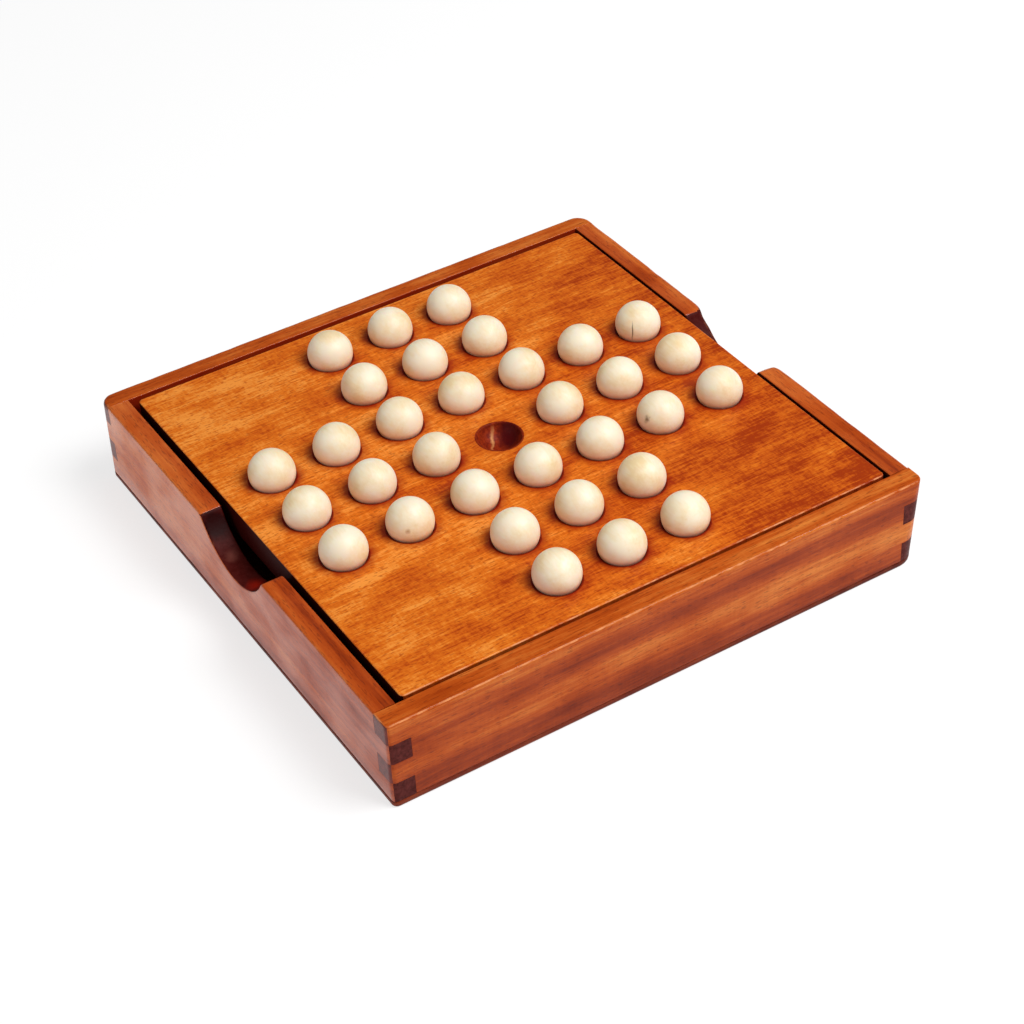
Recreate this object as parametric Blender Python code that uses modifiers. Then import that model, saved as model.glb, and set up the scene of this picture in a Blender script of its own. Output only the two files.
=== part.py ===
"""Peg solitaire board: a finger-jointed wooden tray box with a socketed playing board and its balls.

Metres, +Z up. The origin is on the underside, below the middle of the box. The plain walls are at the
front (-Y) and back (+Y), and the walls with the finger notches are at the left (-X) and right (+X).
"""
import math

import bmesh
import bpy
from mathutils import Matrix, Vector

# Sockets and balls
hole_pitch = 0.0182
holes_across = 7
arm_holes = 3
ball_diameter = 0.0120
socket_depth = 0.0040
socket_gap = 0.0003
ball_segments = 16
ball_rings = 8

# Playing board, as wide as its rows of holes with a margin on both sides
board_margin = 0.00425
board_thickness = 0.0080
board_proud = 0.0003
board_play = 0.0028
board_shift_x = 0.0004
board_shift_y = -0.0007
board_arris = 0.0006
board_arris_steps = 2

# Tray box, built round the board and the play it lies in
wall_thickness = 0.0058
finger_height = 0.0058
finger_count = 4
base_thickness = 0.0018
glue_gap = 0.0002

# Outer rounding of the assembled box
corner_radius = 0.0015
corner_steps = 4
foot_radius = 0.0013
foot_steps = 3
rim_radius = 0.0008
rim_steps = 2
overrun = 0.0010

# Finger notch in the top edge of each side wall
notch_radius = 0.018
notch_depth = 0.0097
notch_steps = 18
shoulder_radius = 0.0020
shoulder_steps = 4

# Ledges under the board
ledge_width = 0.0060
ledge_arris = 0.0004
seat_gap = 0.0003

# Derived sizes and levels
board_side = holes_across * hole_pitch + 2 * board_margin
cavity_side = board_side + board_play
box_side = cavity_side + 2 * wall_thickness
half_box = box_side / 2
wall_bottom = base_thickness + glue_gap
wall_height = finger_count * finger_height
wall_top = wall_bottom + wall_height
board_top = wall_top + board_proud
board_underside = board_top - board_thickness
ball_radius = ball_diameter / 2
ball_level = board_top + ball_radius - socket_depth
ledge_bottom = base_thickness + glue_gap
ledge_top = board_underside - seat_gap
flat_angle = math.radians(1)


def clear_scene():
    for item in list(bpy.data.objects):
        bpy.data.objects.remove(item, do_unlink=True)


def new_collection(name):
    collection = bpy.data.collections.new(name)
    bpy.context.scene.collection.children.link(collection)
    return collection


def put_in(item, collection):
    for owner in list(item.users_collection):
        owner.objects.unlink(item)
    collection.objects.link(item)


def principled(name, colour, roughness):
    material = bpy.data.materials.new(name)
    material.use_nodes = True
    shader = material.node_tree.nodes["Principled BSDF"]
    shader.inputs["Base Color"].default_value = (*colour, 1.0)
    shader.inputs["Roughness"].default_value = roughness
    shader.inputs["Metallic"].default_value = 0.0
    return material


def mesh_object(name, bm, collection):
    mesh = bpy.data.meshes.new(name)
    bm.to_mesh(mesh)
    bm.free()
    item = bpy.data.objects.new(name, mesh)
    collection.objects.link(item)
    return item


def make_cutter(item):
    item.hide_render = True
    item.display_type = "WIRE"


def cut_with(item, cutter, operation):
    boolean = item.modifiers.new(operation.lower(), "BOOLEAN")
    boolean.operation = operation
    boolean.solver = "EXACT"
    boolean.object = cutter


def round_edges(item, radius, steps):
    bevel = item.modifiers.new("rounded edges", "BEVEL")
    bevel.width = radius
    bevel.segments = steps
    bevel.limit_method = "ANGLE"


def block(name, size, centre, collection, material):
    """A plain box with its scale in the mesh and its place in the object's location."""
    bpy.ops.mesh.primitive_cube_add(size=1.0, location=centre)
    item = bpy.context.active_object
    item.name = name
    item.data.name = name
    item.data.transform(Matrix.Diagonal((*size, 1.0)))
    item.data.materials.append(material)
    put_in(item, collection)
    return item


def edges_at_height(bm, height):
    return [edge for edge in bm.edges
            if all(math.isclose(vert.co.z, height, abs_tol=glue_gap / 2) for vert in edge.verts)]


def rounded_envelope(collection):
    """The outside of the assembled box: every outer piece is trimmed to it."""
    bm = bmesh.new()
    centre = Matrix.Translation((0, 0, wall_top / 2))
    bmesh.ops.create_cube(bm, size=1.0, matrix=centre @ Matrix.Diagonal((box_side, box_side, wall_top, 1.0)))
    uprights = [edge for edge in bm.edges if edge.verts[0].co.xy == edge.verts[1].co.xy]
    bmesh.ops.bevel(bm, geom=uprights, offset=corner_radius, offset_type="OFFSET",
                    segments=corner_steps, profile=0.5, affect="EDGES")
    bmesh.ops.bevel(bm, geom=edges_at_height(bm, 0), offset=foot_radius, offset_type="OFFSET",
                    segments=foot_steps, profile=0.5, affect="EDGES")
    bmesh.ops.bevel(bm, geom=edges_at_height(bm, wall_top), offset=rim_radius, offset_type="OFFSET",
                    segments=rim_steps, profile=0.5, affect="EDGES")
    envelope = mesh_object("box_envelope", bm, collection)
    make_cutter(envelope)
    return envelope


def finger_slots(name, along_x, first_is_tab, collection):
    """Slots at the ends of one pair of walls, where the tabs of the other pair pass through."""
    bm = bmesh.new()
    inner_face = half_box - wall_thickness
    far = half_box + 2 * overrun
    near_x = inner_face - (glue_gap if along_x else overrun)
    near_y = inner_face - (overrun if along_x else glue_gap)
    for course in range(finger_count):
        if (course % 2 == 0) == first_is_tab:
            continue
        low = wall_bottom + course * finger_height - (glue_gap / 2 if course else overrun)
        high = wall_bottom + (course + 1) * finger_height + glue_gap / 2
        if course == finger_count - 1:
            high += 2 * overrun
        size = Matrix.Diagonal((far - near_x, far - near_y, high - low, 1.0))
        for side_x in (-1, 1):
            for side_y in (-1, 1):
                centre = (side_x * (far + near_x) / 2, side_y * (far + near_y) / 2, (high + low) / 2)
                bmesh.ops.create_cube(bm, size=1.0, matrix=Matrix.Translation(centre) @ size)
    slots = mesh_object(name, bm, collection)
    make_cutter(slots)
    return slots


def arc(centre_x, centre_z, radius, start, end, steps):
    angles = [start + (end - start) * step / steps for step in range(steps + 1)]
    return [(centre_x + radius * math.cos(angle), centre_z + radius * math.sin(angle)) for angle in angles]


def notched_outline():
    """A side wall seen from outside: a rectangle with the round finger notch in its top edge."""
    notch_level = wall_top + notch_radius - notch_depth
    shoulder_level = wall_top - shoulder_radius
    rise = notch_level - shoulder_level
    shoulder_x = math.sqrt((notch_radius + shoulder_radius) ** 2 - rise ** 2)
    meet = math.atan2(rise, -shoulder_x)
    upright = math.pi / 2
    right = arc(shoulder_x, shoulder_level, shoulder_radius, upright, meet, shoulder_steps)
    dip = arc(0, notch_level, notch_radius, meet - math.pi, -meet, notch_steps)
    left = arc(-shoulder_x, shoulder_level, shoulder_radius, math.pi - meet, upright, shoulder_steps)
    blank_top = wall_top + overrun
    blank_end = half_box + overrun
    base = [(-blank_end, wall_bottom), (blank_end, wall_bottom)]
    top = [(blank_end, blank_top), (shoulder_x, blank_top)]
    return base + top + right + dip[1:-1] + left + [(-shoulder_x, blank_top), (-blank_end, blank_top)]


def outline_solid(name, outline, thickness, centre, turn, collection, material):
    """A flat outline in X and Z, as thick as asked, turned about Z and moved to its centre."""
    curve = bpy.data.curves.new(name, "CURVE")
    curve.dimensions = "2D"
    curve.fill_mode = "BOTH"
    curve.extrude = thickness / 2
    spline = curve.splines.new("POLY")
    spline.points.add(len(outline) - 1)
    for point, (x, z) in zip(spline.points, outline):
        point.co = (x, z, 0, 1)
    spline.use_cyclic_u = True
    flat = bpy.data.objects.new(name + "_outline", curve)
    bpy.context.scene.collection.objects.link(flat)
    stand = Matrix.Rotation(math.radians(90), 4, "X")
    flat.matrix_world = Matrix.Translation(centre) @ Matrix.Rotation(turn, 4, "Z") @ stand
    bpy.context.view_layer.update()
    mesh = bpy.data.meshes.new_from_object(flat.evaluated_get(bpy.context.evaluated_depsgraph_get()))
    mesh.name = name
    bm = bmesh.new()
    bm.from_mesh(mesh)
    bmesh.ops.remove_doubles(bm, verts=bm.verts, dist=glue_gap / 4)
    bmesh.ops.dissolve_limit(bm, angle_limit=flat_angle, verts=bm.verts, edges=bm.edges)
    bmesh.ops.recalc_face_normals(bm, faces=bm.faces)
    bm.to_mesh(mesh)
    bm.free()
    item = bpy.data.objects.new(name, mesh)
    item.matrix_world = flat.matrix_world
    bpy.data.objects.remove(flat, do_unlink=True)
    collection.objects.link(item)
    mesh.materials.clear()
    mesh.materials.append(material)
    return item


def walls(envelope, collection, cutters, materials):
    """Four walls, cut a little too large on the outside, slotted at their ends and trimmed to the box."""
    blank_thickness = wall_thickness + overrun
    blank_place = half_box - wall_thickness + blank_thickness / 2
    plain_size = (2 * (half_box + overrun), blank_thickness, wall_height + overrun)
    plain_level = wall_bottom + (wall_height + overrun) / 2
    plain_slots = finger_slots("plain_wall_slots", True, False, cutters)
    notched_slots = finger_slots("notched_wall_slots", False, True, cutters)
    for name, side in (("front_wall", -1), ("back_wall", 1)):
        centre = (0, side * blank_place, plain_level)
        item = block(name, plain_size, centre, collection, materials[name])
        cut_with(item, plain_slots, "DIFFERENCE")
        cut_with(item, envelope, "INTERSECT")
    for name, side in (("left_wall", -1), ("right_wall", 1)):
        centre = Vector((side * blank_place, 0, 0))
        turn = math.radians(90)
        item = outline_solid(name, notched_outline(), blank_thickness, centre, turn, collection, materials[name])
        cut_with(item, notched_slots, "DIFFERENCE")
        cut_with(item, envelope, "INTERSECT")


def base_and_ledges(envelope, collection, materials):
    """The thin panel glued under the walls, and the strips that carry the board along the plain walls."""
    base_blank = box_side + 2 * overrun
    base_size = (base_blank, base_blank, base_thickness + overrun)
    base_centre = (0, 0, (base_thickness - overrun) / 2)
    base = block("base_panel", base_size, base_centre, collection, materials["base_panel"])
    cut_with(base, envelope, "INTERSECT")

    ledge_size = (cavity_side - 2 * glue_gap, ledge_width, ledge_top - ledge_bottom)
    ledge_place = cavity_side / 2 - glue_gap - ledge_width / 2
    ledge_level = (ledge_top + ledge_bottom) / 2
    for name, side in (("front_ledge", -1), ("back_ledge", 1)):
        centre = (0, side * ledge_place, ledge_level)
        ledge = block(name, ledge_size, centre, collection, materials[name])
        round_edges(ledge, ledge_arris, 1)


def hole_places():
    """Row and column numbers with the centre of each hole: rows run back to front, columns left to right."""
    middle = (holes_across - 1) // 2
    arm = (arm_holes - 1) // 2
    places = []
    for row in range(holes_across):
        for column in range(holes_across):
            across = column - middle
            along = middle - row
            if abs(across) <= arm or abs(along) <= arm:
                x = board_shift_x + across * hole_pitch
                y = board_shift_y + along * hole_pitch
                places.append((row + 1, column + 1, Vector((x, y, ball_level))))
    return places


def sphere_at(bm, radius, centre):
    bmesh.ops.create_uvsphere(bm, u_segments=ball_segments, v_segments=ball_rings, radius=radius,
                              matrix=Matrix.Translation(centre))


def playing_board(collection, cutters, material):
    """A drop-in panel with a round socket under every ball and one for the empty centre."""
    size = (board_side, board_side, board_thickness)
    centre = (board_shift_x, board_shift_y, board_top - board_thickness / 2)
    board = block("board_panel", size, centre, collection, material)
    round_edges(board, board_arris, board_arris_steps)
    bm = bmesh.new()
    for row, column, place in hole_places():
        sphere_at(bm, ball_radius + socket_gap, place)
    sockets = mesh_object("board_sockets", bm, cutters)
    make_cutter(sockets)
    cut_with(board, sockets, "DIFFERENCE")


def balls(collection, material):
    """One ball in every socket but the middle one, each with its origin at its own centre."""
    bm = bmesh.new()
    sphere_at(bm, ball_radius, (0, 0, 0))
    mesh = bpy.data.meshes.new("ball")
    bm.to_mesh(mesh)
    bm.free()
    mesh.shade_smooth()
    mesh.materials.append(material)
    middle = (holes_across + 1) // 2
    for row, column, place in hole_places():
        if (row, column) == (middle, middle):
            continue
        item = bpy.data.objects.new(f"ball_r{row}_c{column}", mesh)
        item.location = place
        collection.objects.link(item)


def wood_materials():
    """Stained wood for each piece of the box, as linear colours."""
    finishes = {
        "front_wall": ((0.42, 0.10, 0.03), 0.30),
        "back_wall": ((0.40, 0.10, 0.03), 0.30),
        "left_wall": ((0.36, 0.09, 0.03), 0.30),
        "right_wall": ((0.36, 0.09, 0.03), 0.30),
        "base_panel": ((0.30, 0.08, 0.03), 0.45),
        "front_ledge": ((0.45, 0.20, 0.08), 0.60),
        "back_ledge": ((0.45, 0.20, 0.08), 0.60),
        "board_panel": ((0.58, 0.20, 0.04), 0.32),
        "ball": ((0.78, 0.66, 0.46), 0.38),
    }
    return {name: principled(name + "_wood", colour, roughness)
            for name, (colour, roughness) in finishes.items()}


def main():
    clear_scene()
    collection = new_collection("peg_solitaire_board")
    cutters = new_collection("cutters")
    materials = wood_materials()
    envelope = rounded_envelope(cutters)
    walls(envelope, collection, cutters, materials)
    base_and_ledges(envelope, collection, materials)
    playing_board(collection, cutters, materials["board_panel"])
    balls(collection, materials["ball"])
    bpy.context.view_layer.update()


main()
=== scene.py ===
import math

import bmesh
import bpy
from mathutils import Matrix, Vector, noise


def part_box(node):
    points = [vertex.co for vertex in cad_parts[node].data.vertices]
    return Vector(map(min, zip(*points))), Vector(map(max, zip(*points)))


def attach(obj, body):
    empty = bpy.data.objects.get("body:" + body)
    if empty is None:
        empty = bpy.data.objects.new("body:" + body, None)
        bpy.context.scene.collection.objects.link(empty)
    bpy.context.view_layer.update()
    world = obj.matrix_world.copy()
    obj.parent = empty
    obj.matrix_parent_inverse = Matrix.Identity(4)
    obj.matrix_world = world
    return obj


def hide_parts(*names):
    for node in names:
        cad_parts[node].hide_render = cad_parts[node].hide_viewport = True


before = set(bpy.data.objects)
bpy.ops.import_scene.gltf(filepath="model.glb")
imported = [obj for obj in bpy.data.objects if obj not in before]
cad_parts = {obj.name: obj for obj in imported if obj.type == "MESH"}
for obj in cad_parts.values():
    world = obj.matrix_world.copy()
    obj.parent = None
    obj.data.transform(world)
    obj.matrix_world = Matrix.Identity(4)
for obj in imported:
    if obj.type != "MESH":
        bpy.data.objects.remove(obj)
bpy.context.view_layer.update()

# Shared sizes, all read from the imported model
frontLow, frontHigh = (Vector(corner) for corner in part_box("front_wall"))
leftLow, leftHigh = (Vector(corner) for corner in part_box("left_wall"))
baseHigh = Vector(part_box("base_panel")[1])
boardLow, boardHigh = (Vector(corner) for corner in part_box("board_panel"))
boardCentre = (boardLow + boardHigh) / 2
ballNodes = sorted(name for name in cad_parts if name.startswith("ball_"))

quarterTurn = math.pi / 2
matching = 0.00001            # two places this close are the same one
sliver = 0.000001


def toLinear(code):
    parts = [int(code[i:i + 2], 16) / 255 for i in (1, 3, 5)]
    return tuple(p / 12.92 if p <= 0.04045 else ((p + 0.055) / 1.055) ** 2.4 for p in parts) + (1.0,)


# A link from a whole node is one from its first output.
def addNode(tree, kind, inputs=None, links=None, **settings):
    node = tree.nodes.new(kind)
    for name, value in settings.items():
        setattr(node, name, value)
    for key, value in (inputs or {}).items():
        node.inputs[key].default_value = value
    for key, source in (links or {}).items():
        output = source.outputs[0] if isinstance(source, bpy.types.Node) else source
        tree.links.new(output, node.inputs[key])
    return node


def setRamp(node, stops):
    ramp = node.color_ramp
    while len(ramp.elements) < len(stops):
        ramp.elements.new(0.5)
    for element, (place, colour) in zip(ramp.elements, stops):
        element.position = place
        element.color = toLinear(colour) if isinstance(colour, str) else (colour, colour, colour, 1.0)


def newMaterial(name):
    material = bpy.data.materials.new(name)
    material.use_nodes = True
    material.node_tree.nodes.clear()
    return material, material.node_tree


# Stains, marks, rubbed edges, painted shade, painted shadow, painted highlights and a painted reflection lie
# over the surface's own colour, each through its own mask.
def layColours(tree, colour, layers):
    for mask, tint in layers:
        over = addNode(tree, "ShaderNodeMix", {7: toLinear(tint)}, {0: mask, 6: colour}, data_type="RGBA")
        colour = over.outputs[2]
    return colour


# A small mark on a surface: an uneven ellipsoid of another colour, as long and as wide as it says.
def markMask(tree, coords, mark):
    ragged = addNode(tree, "ShaderNodeTexNoise", {"Scale": 1 / mark["ragSize"], "Detail": 3.0},
                     {"Vector": coords})
    middled = addNode(tree, "ShaderNodeVectorMath", {1: (0.5, 0.5, 0.5)}, {0: ragged.outputs["Color"]},
                      operation="SUBTRACT")
    shifted = addNode(tree, "ShaderNodeVectorMath", {1: (mark["rag"],) * 3, 2: -Vector(mark["place"])},
                      {0: middled}, operation="MULTIPLY_ADD")
    away = addNode(tree, "ShaderNodeVectorMath", links={0: coords, 1: shifted}, operation="ADD")
    across, along = Vector(mark["across"]), Vector(mark["along"])
    axes = ((across, mark["width"]), (along, mark["length"]), (across.cross(along), mark["depth"]))
    parts = []
    for axis, reach in axes:
        part = addNode(tree, "ShaderNodeVectorMath", {1: axis.normalized() / reach}, {0: away},
                       operation="DOT_PRODUCT")
        parts.append(part.outputs["Value"])
    joined = addNode(tree, "ShaderNodeCombineXYZ", links=dict(enumerate(parts)))
    distance = addNode(tree, "ShaderNodeVectorMath", links={0: joined}, operation="LENGTH").outputs["Value"]
    return addNode(tree, "ShaderNodeMapRange",
                   {"From Min": 1.0, "From Max": mark["core"], "To Max": mark["strength"]},
                   {"Value": distance})


# Detail, roughness and distortion of each pattern in the wood. The sizes are in the looks below.
woodPatterns = {
    "band": (3.0, 0.55, 0.4),
    "fibre": (4.0, 0.65, 0.0),
    "blotch": (2.0, 0.5, 0.0),
    "streak": (3.0, 0.5, 0.0),
    "figure": (2.0, 0.5, 0.0),
    "pore": (1.0, 0.4, 0.0),
}


# Stained and lacquered hardwood. A thin glossy coat lies over long grain that shows growth bands,
# fine fibres and short dark pores. Where the wood is cut across, it drinks the stain and turns
# nearly plum. The rubbed arrises let the paler wood through and have lost their coat; that paler
# colour is also a painted highlight. Painted shade darkens the faces in gaps and at socket lips,
# and a ring of stain and painted shadow lies round each socket.
def stainedWood(name, look, marks=()):
    material, tree = newMaterial(name)
    coords = addNode(tree, "ShaderNodeTexCoord").outputs["Object"]
    turned = addNode(tree, "ShaderNodeMapping", {"Rotation": (0, 0, look["turn"]), "Location": look["shift"]},
                     {"Vector": coords})
    painted = {}
    for layer in ("cutGrain", "halo", "sheltered", "wear"):
        painted[layer] = addNode(tree, "ShaderNodeAttribute", attribute_name=layer).outputs["Fac"]
    cut = painted["cutGrain"]

    patterns = {}
    for layer, (detail, roughness, distortion) in woodPatterns.items():
        length, width = look[layer + "Length"], look[layer + "Width"]
        scale = (1 / length, 1 / width, 1 / look.get(layer + "Height", width))
        stretched = addNode(tree, "ShaderNodeMapping", {"Scale": scale}, {"Vector": turned})
        patterns[layer] = addNode(tree, "ShaderNodeTexNoise",
                                  {"Scale": 1.0, "Detail": detail, "Roughness": roughness,
                                   "Distortion": distortion}, {"Vector": stretched})

    wander = look["sawnWander"]
    height = addNode(tree, "ShaderNodeSeparateXYZ", links={0: coords}).outputs["Z"]
    wandering = addNode(tree, "ShaderNodeMath", {1: wander}, {0: patterns["band"], 2: height},
                        operation="MULTIPLY_ADD")
    level = addNode(tree, "ShaderNodeMapRange",
                    {"From Min": wander / 2, "From Max": wander / 2 + frontHigh.z}, {"Value": wandering})
    patterns["sawn"] = addNode(tree, "ShaderNodeValToRGB", links={"Fac": level})
    setRamp(patterns["sawn"], look["sawnBands"])

    seen = [layer for layer in patterns if layer != "pore"]
    total = sum(look[layer + "Share"] for layer in seen)
    mixed = addNode(tree, "ShaderNodeVectorMath", {1: Vector(look["drift"]) / total}, {0: coords},
                    operation="DOT_PRODUCT").outputs["Value"]
    for layer in seen:
        share = look[layer + "Share"] / total
        mixed = addNode(tree, "ShaderNodeMath", {1: share}, {0: patterns[layer], 2: mixed},
                        operation="MULTIPLY_ADD")
    grain = addNode(tree, "ShaderNodeValToRGB", links={"Fac": mixed})
    setRamp(grain, look["grain"])

    poreMask = addNode(tree, "ShaderNodeMapRange",
                       {"From Min": look["poreFrom"], "From Max": look["poreFrom"] - look["poreEdge"],
                        "To Max": look["poreDepth"]}, {"Value": patterns["pore"]})
    pored = layColours(tree, grain, [(poreMask, look["pore"])])
    cutNoise = addNode(tree, "ShaderNodeTexNoise",
                       {"Scale": 1 / look["cutSize"], "Detail": 5.0, "Roughness": 0.7}, {"Vector": turned})
    cutColour = addNode(tree, "ShaderNodeValToRGB", links={"Fac": cutNoise})
    setRamp(cutColour, look["cut"])
    bare = addNode(tree, "ShaderNodeMix", links={0: cut, 6: pored, 7: cutColour}, data_type="RGBA")

    # The ring round each socket is stain and painted shadow.
    stainAndShadowEdge = addNode(tree, "ShaderNodeMath", {1: look["stainAndShadowCurve"]}, {0: painted["halo"]},
                       operation="POWER")
    masks = {}
    for layer, source, detail in (("halo", stainAndShadowEdge, 2.0), ("wear", painted["wear"], 3.0)):
        patches = addNode(tree, "ShaderNodeTexNoise", {"Scale": 1 / look[layer + "Size"], "Detail": detail},
                          {"Vector": coords})
        spread = look[layer + "Spread"]
        share = addNode(tree, "ShaderNodeMapRange",
                        {"From Min": 0.5 - spread, "From Max": 0.5 + spread,
                         "To Min": look[layer + "Low"], "To Max": look[layer + "High"]}, {"Value": patches})
        masks[layer] = addNode(tree, "ShaderNodeMath", links={0: source, 1: share}, operation="MULTIPLY")
    # Painted shade: a dark colour on the faces in the gaps, at the socket lips and in the notches.
    paintedShadeMask = addNode(tree, "ShaderNodeMath", {1: look["paintedShadeShare"]}, {0: painted["sheltered"]},
                          operation="MULTIPLY")
    layers = [(masks["halo"], look["halo"]), (paintedShadeMask, look["sheltered"]), (masks["wear"], look["wearAndHighlightColour"])]
    for mark in marks:
        onCut = addNode(tree, "ShaderNodeMath", links={0: markMask(tree, coords, mark), 1: cut},
                        operation="MULTIPLY")
        layers.append((onCut, mark["colour"]))
    colour = layColours(tree, bare.outputs[2], layers)

    thin, thick = look["coat"] * (1 - look["coatVary"]), look["coat"] * (1 + look["coatVary"])
    uneven = addNode(tree, "ShaderNodeMapRange",
                     {"From Min": 0.35, "From Max": 0.65, "To Min": thin, "To Max": thick},
                     {"Value": patterns["blotch"]})
    whole = addNode(tree, "ShaderNodeMapRange", {"To Max": look["cutCoat"]}, {"Value": cut, "To Min": uneven})
    kept = addNode(tree, "ShaderNodeMath", {0: 1.0}, {1: masks["wear"]}, operation="SUBTRACT", use_clamp=True)
    coat = addNode(tree, "ShaderNodeMath", links={0: whole, 1: kept}, operation="MULTIPLY")
    rough = addNode(tree, "ShaderNodeMapRange",
                    {"To Min": look["rough"] - look["smoother"], "To Max": look["rough"] + look["rougher"]},
                    {"Value": patterns["fibre"]})
    relief = addNode(tree, "ShaderNodeMath", {1: -look["poreSink"]}, {0: poreMask, 2: patterns["fibre"]},
                     operation="MULTIPLY_ADD")
    torn = addNode(tree, "ShaderNodeMath", {1: look["cutRelief"]}, {0: cut}, operation="MULTIPLY")
    relief = addNode(tree, "ShaderNodeMath", links={0: torn, 1: cutNoise, 2: relief},
                     operation="MULTIPLY_ADD")
    bump = addNode(tree, "ShaderNodeBump", {"Strength": look["relief"], "Distance": look["reliefDepth"]},
                   {"Height": relief})
    shader = addNode(tree, "ShaderNodeBsdfPrincipled",
                     {"IOR": 1.5, "Coat Roughness": look["coatRough"],
                      "Specular IOR Level": look["specular"]},
                     {"Base Color": colour, "Roughness": rough, "Coat Weight": coat, "Normal": bump})
    addNode(tree, "ShaderNodeOutputMaterial", links={"Surface": shader})
    return material


# Sizes in metres. A length runs with the grain and a width across it. The walls have growth bands
# 6 mm wide, streaks of 1.1 mm, fibres of 0.35 mm and pores 0.3 mm wide and 2 mm long; the board has
# bands of 9 to 14 mm, streaks of 0.8 mm, fibres of 0.4 mm and a figure of fine flecks across the
# grain. All are a little coarser than real, so that they show. Sawn bands lie at shares of the height.
wallLook = {
    "turn": 0.0, "shift": (0.31, 0.07, 0.013), "drift": (0.55, 0.0, 0.0),
    "bandLength": 0.16, "bandWidth": 0.0065, "bandHeight": 0.0060, "bandShare": 0.55,
    "streakLength": 0.035, "streakWidth": 0.0011, "streakShare": 0.30,
    "fibreLength": 0.008, "fibreWidth": 0.00035, "fibreShare": 0.25,
    "blotchLength": 0.016, "blotchWidth": 0.010, "blotchShare": 0.30,
    "figureLength": 0.0006, "figureWidth": 0.004, "figureShare": 0.06,
    "sawnBands": ((0.04, 0.30), (0.22, 0.36), (0.40, 0.72), (0.55, 0.60), (0.70, 0.34), (0.86, 0.60)),
    "sawnWander": 0.006, "sawnShare": 0.55,
    "grain": ((0.38, "#782404"), (0.46, "#9e3a04"), (0.53, "#ba5010"), (0.62, "#dc7e32")),
    "poreLength": 0.0022, "poreWidth": 0.0003, "poreFrom": 0.40, "poreEdge": 0.08, "poreDepth": 0.45,
    "pore": "#5a1a06", "poreSink": 0.6,
    "cut": ((0.35, "#500e06"), (0.65, "#7a2216")), "cutSize": 0.0012, "cutCoat": 0.45, "cutRelief": 1.0,
    # Ring of stain and painted shadow round sockets; the walls have none.
    "halo": "#6a1004", "haloSize": 0.002, "haloSpread": 0.20, "stainAndShadowCurve": 1.0,
    "haloLow": 0.0, "haloHigh": 0.0,
    # Painted shade on the inner faces, seen down the gaps.
    "sheltered": "#8a1206", "paintedShadeShare": 0.85,
    # The rubbed colour on rims, corners and foot is also a painted highlight.
    "wearAndHighlightColour": "#e0905a", "wearSize": 0.0026, "wearSpread": 0.15, "wearLow": -0.2, "wearHigh": 1.1,
    "rough": 0.40, "smoother": 0.06, "rougher": 0.08, "relief": 0.25, "reliefDepth": 0.0001,
    "coat": 0.22, "coatVary": 0.2, "coatRough": 0.16, "specular": 0.05,
}
# The side walls grow lighter towards the back: painted light and painted reflection.
sideLook = dict(
    wallLook, turn=quarterTurn, shift=(0.12, 0.41, 0.37), drift=(0.0, 1.0, 0.0),
    sawnShare=0.25, blotchShare=0.45, bandShare=0.75,
    grain=((0.38, "#7e2804"), (0.46, "#a43c06"), (0.53, "#bc5012"), (0.62, "#d66e26")),
    cut=((0.35, "#441410"), (0.65, "#642a26")), cutCoat=0.0, cutRelief=4.0,
    # Painted shade on the inner faces and in the notches.
    sheltered="#420402", wearLow=-0.4, wearHigh=0.35, coat=0.55, coatVary=0.45)
# The board grows lighter to the left and to the back; towards the back this is partly a painted sheen.
boardLook = dict(
    wallLook, shift=(0.05, 0.23, 0.11), drift=(-1.1, 0.7, 0.0),
    bandLength=0.10, bandWidth=0.014, bandHeight=0.009, bandShare=0.40,
    streakLength=0.012, streakWidth=0.0008, streakShare=0.42,
    fibreLength=0.0022, fibreWidth=0.0004, fibreShare=0.42,
    figureLength=0.0006, figureWidth=0.0022, figureShare=0.24,
    blotchLength=0.0144, blotchWidth=0.009, blotchShare=0.55, sawnShare=0.0,
    poreLength=0.0016, poreWidth=0.00045, poreFrom=0.42, poreDepth=0.50, pore="#963004",
    grain=((0.40, "#a03402"), (0.46, "#c8580c"), (0.53, "#de7218"), (0.60, "#f2943a")),
    # The ring round the sockets is stain and painted shadow.
    haloSize=0.004, stainAndShadowCurve=1.1, haloLow=0.45, haloHigh=1.0, halo="#8e1c02",
    # Painted shade, nearly black, on the board's sides in the gap and at the socket lips.
    sheltered="#2c0303", paintedShadeShare=0.96,
    cut=((0.35, "#5a1006"), (0.65, "#9c3410")), cutCoat=0.02,
    wearAndHighlightColour="#e89a68", wearLow=-0.3, rough=0.45, coat=0.15, coatRough=0.2, specular=0.08)
baseLook = dict(
    wallLook, shift=(0.61, 0.17, 0.05), drift=(0.0, 0.0, 0.0), sawnShare=0.0,
    grain=((0.38, "#3e1008"), (0.46, "#54180a"), (0.53, "#6e240e"), (0.62, "#8a3818")),
    wearAndHighlightColour="#8a4426", wearHigh=0.5, coat=0.14, rough=0.45)
ledgeLook = dict(
    baseLook, shift=(0.22, 0.51, 0.15),
    grain=((0.38, "#5a2814"), (0.46, "#6f341a"), (0.53, "#834220"), (0.62, "#985228")))
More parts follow.
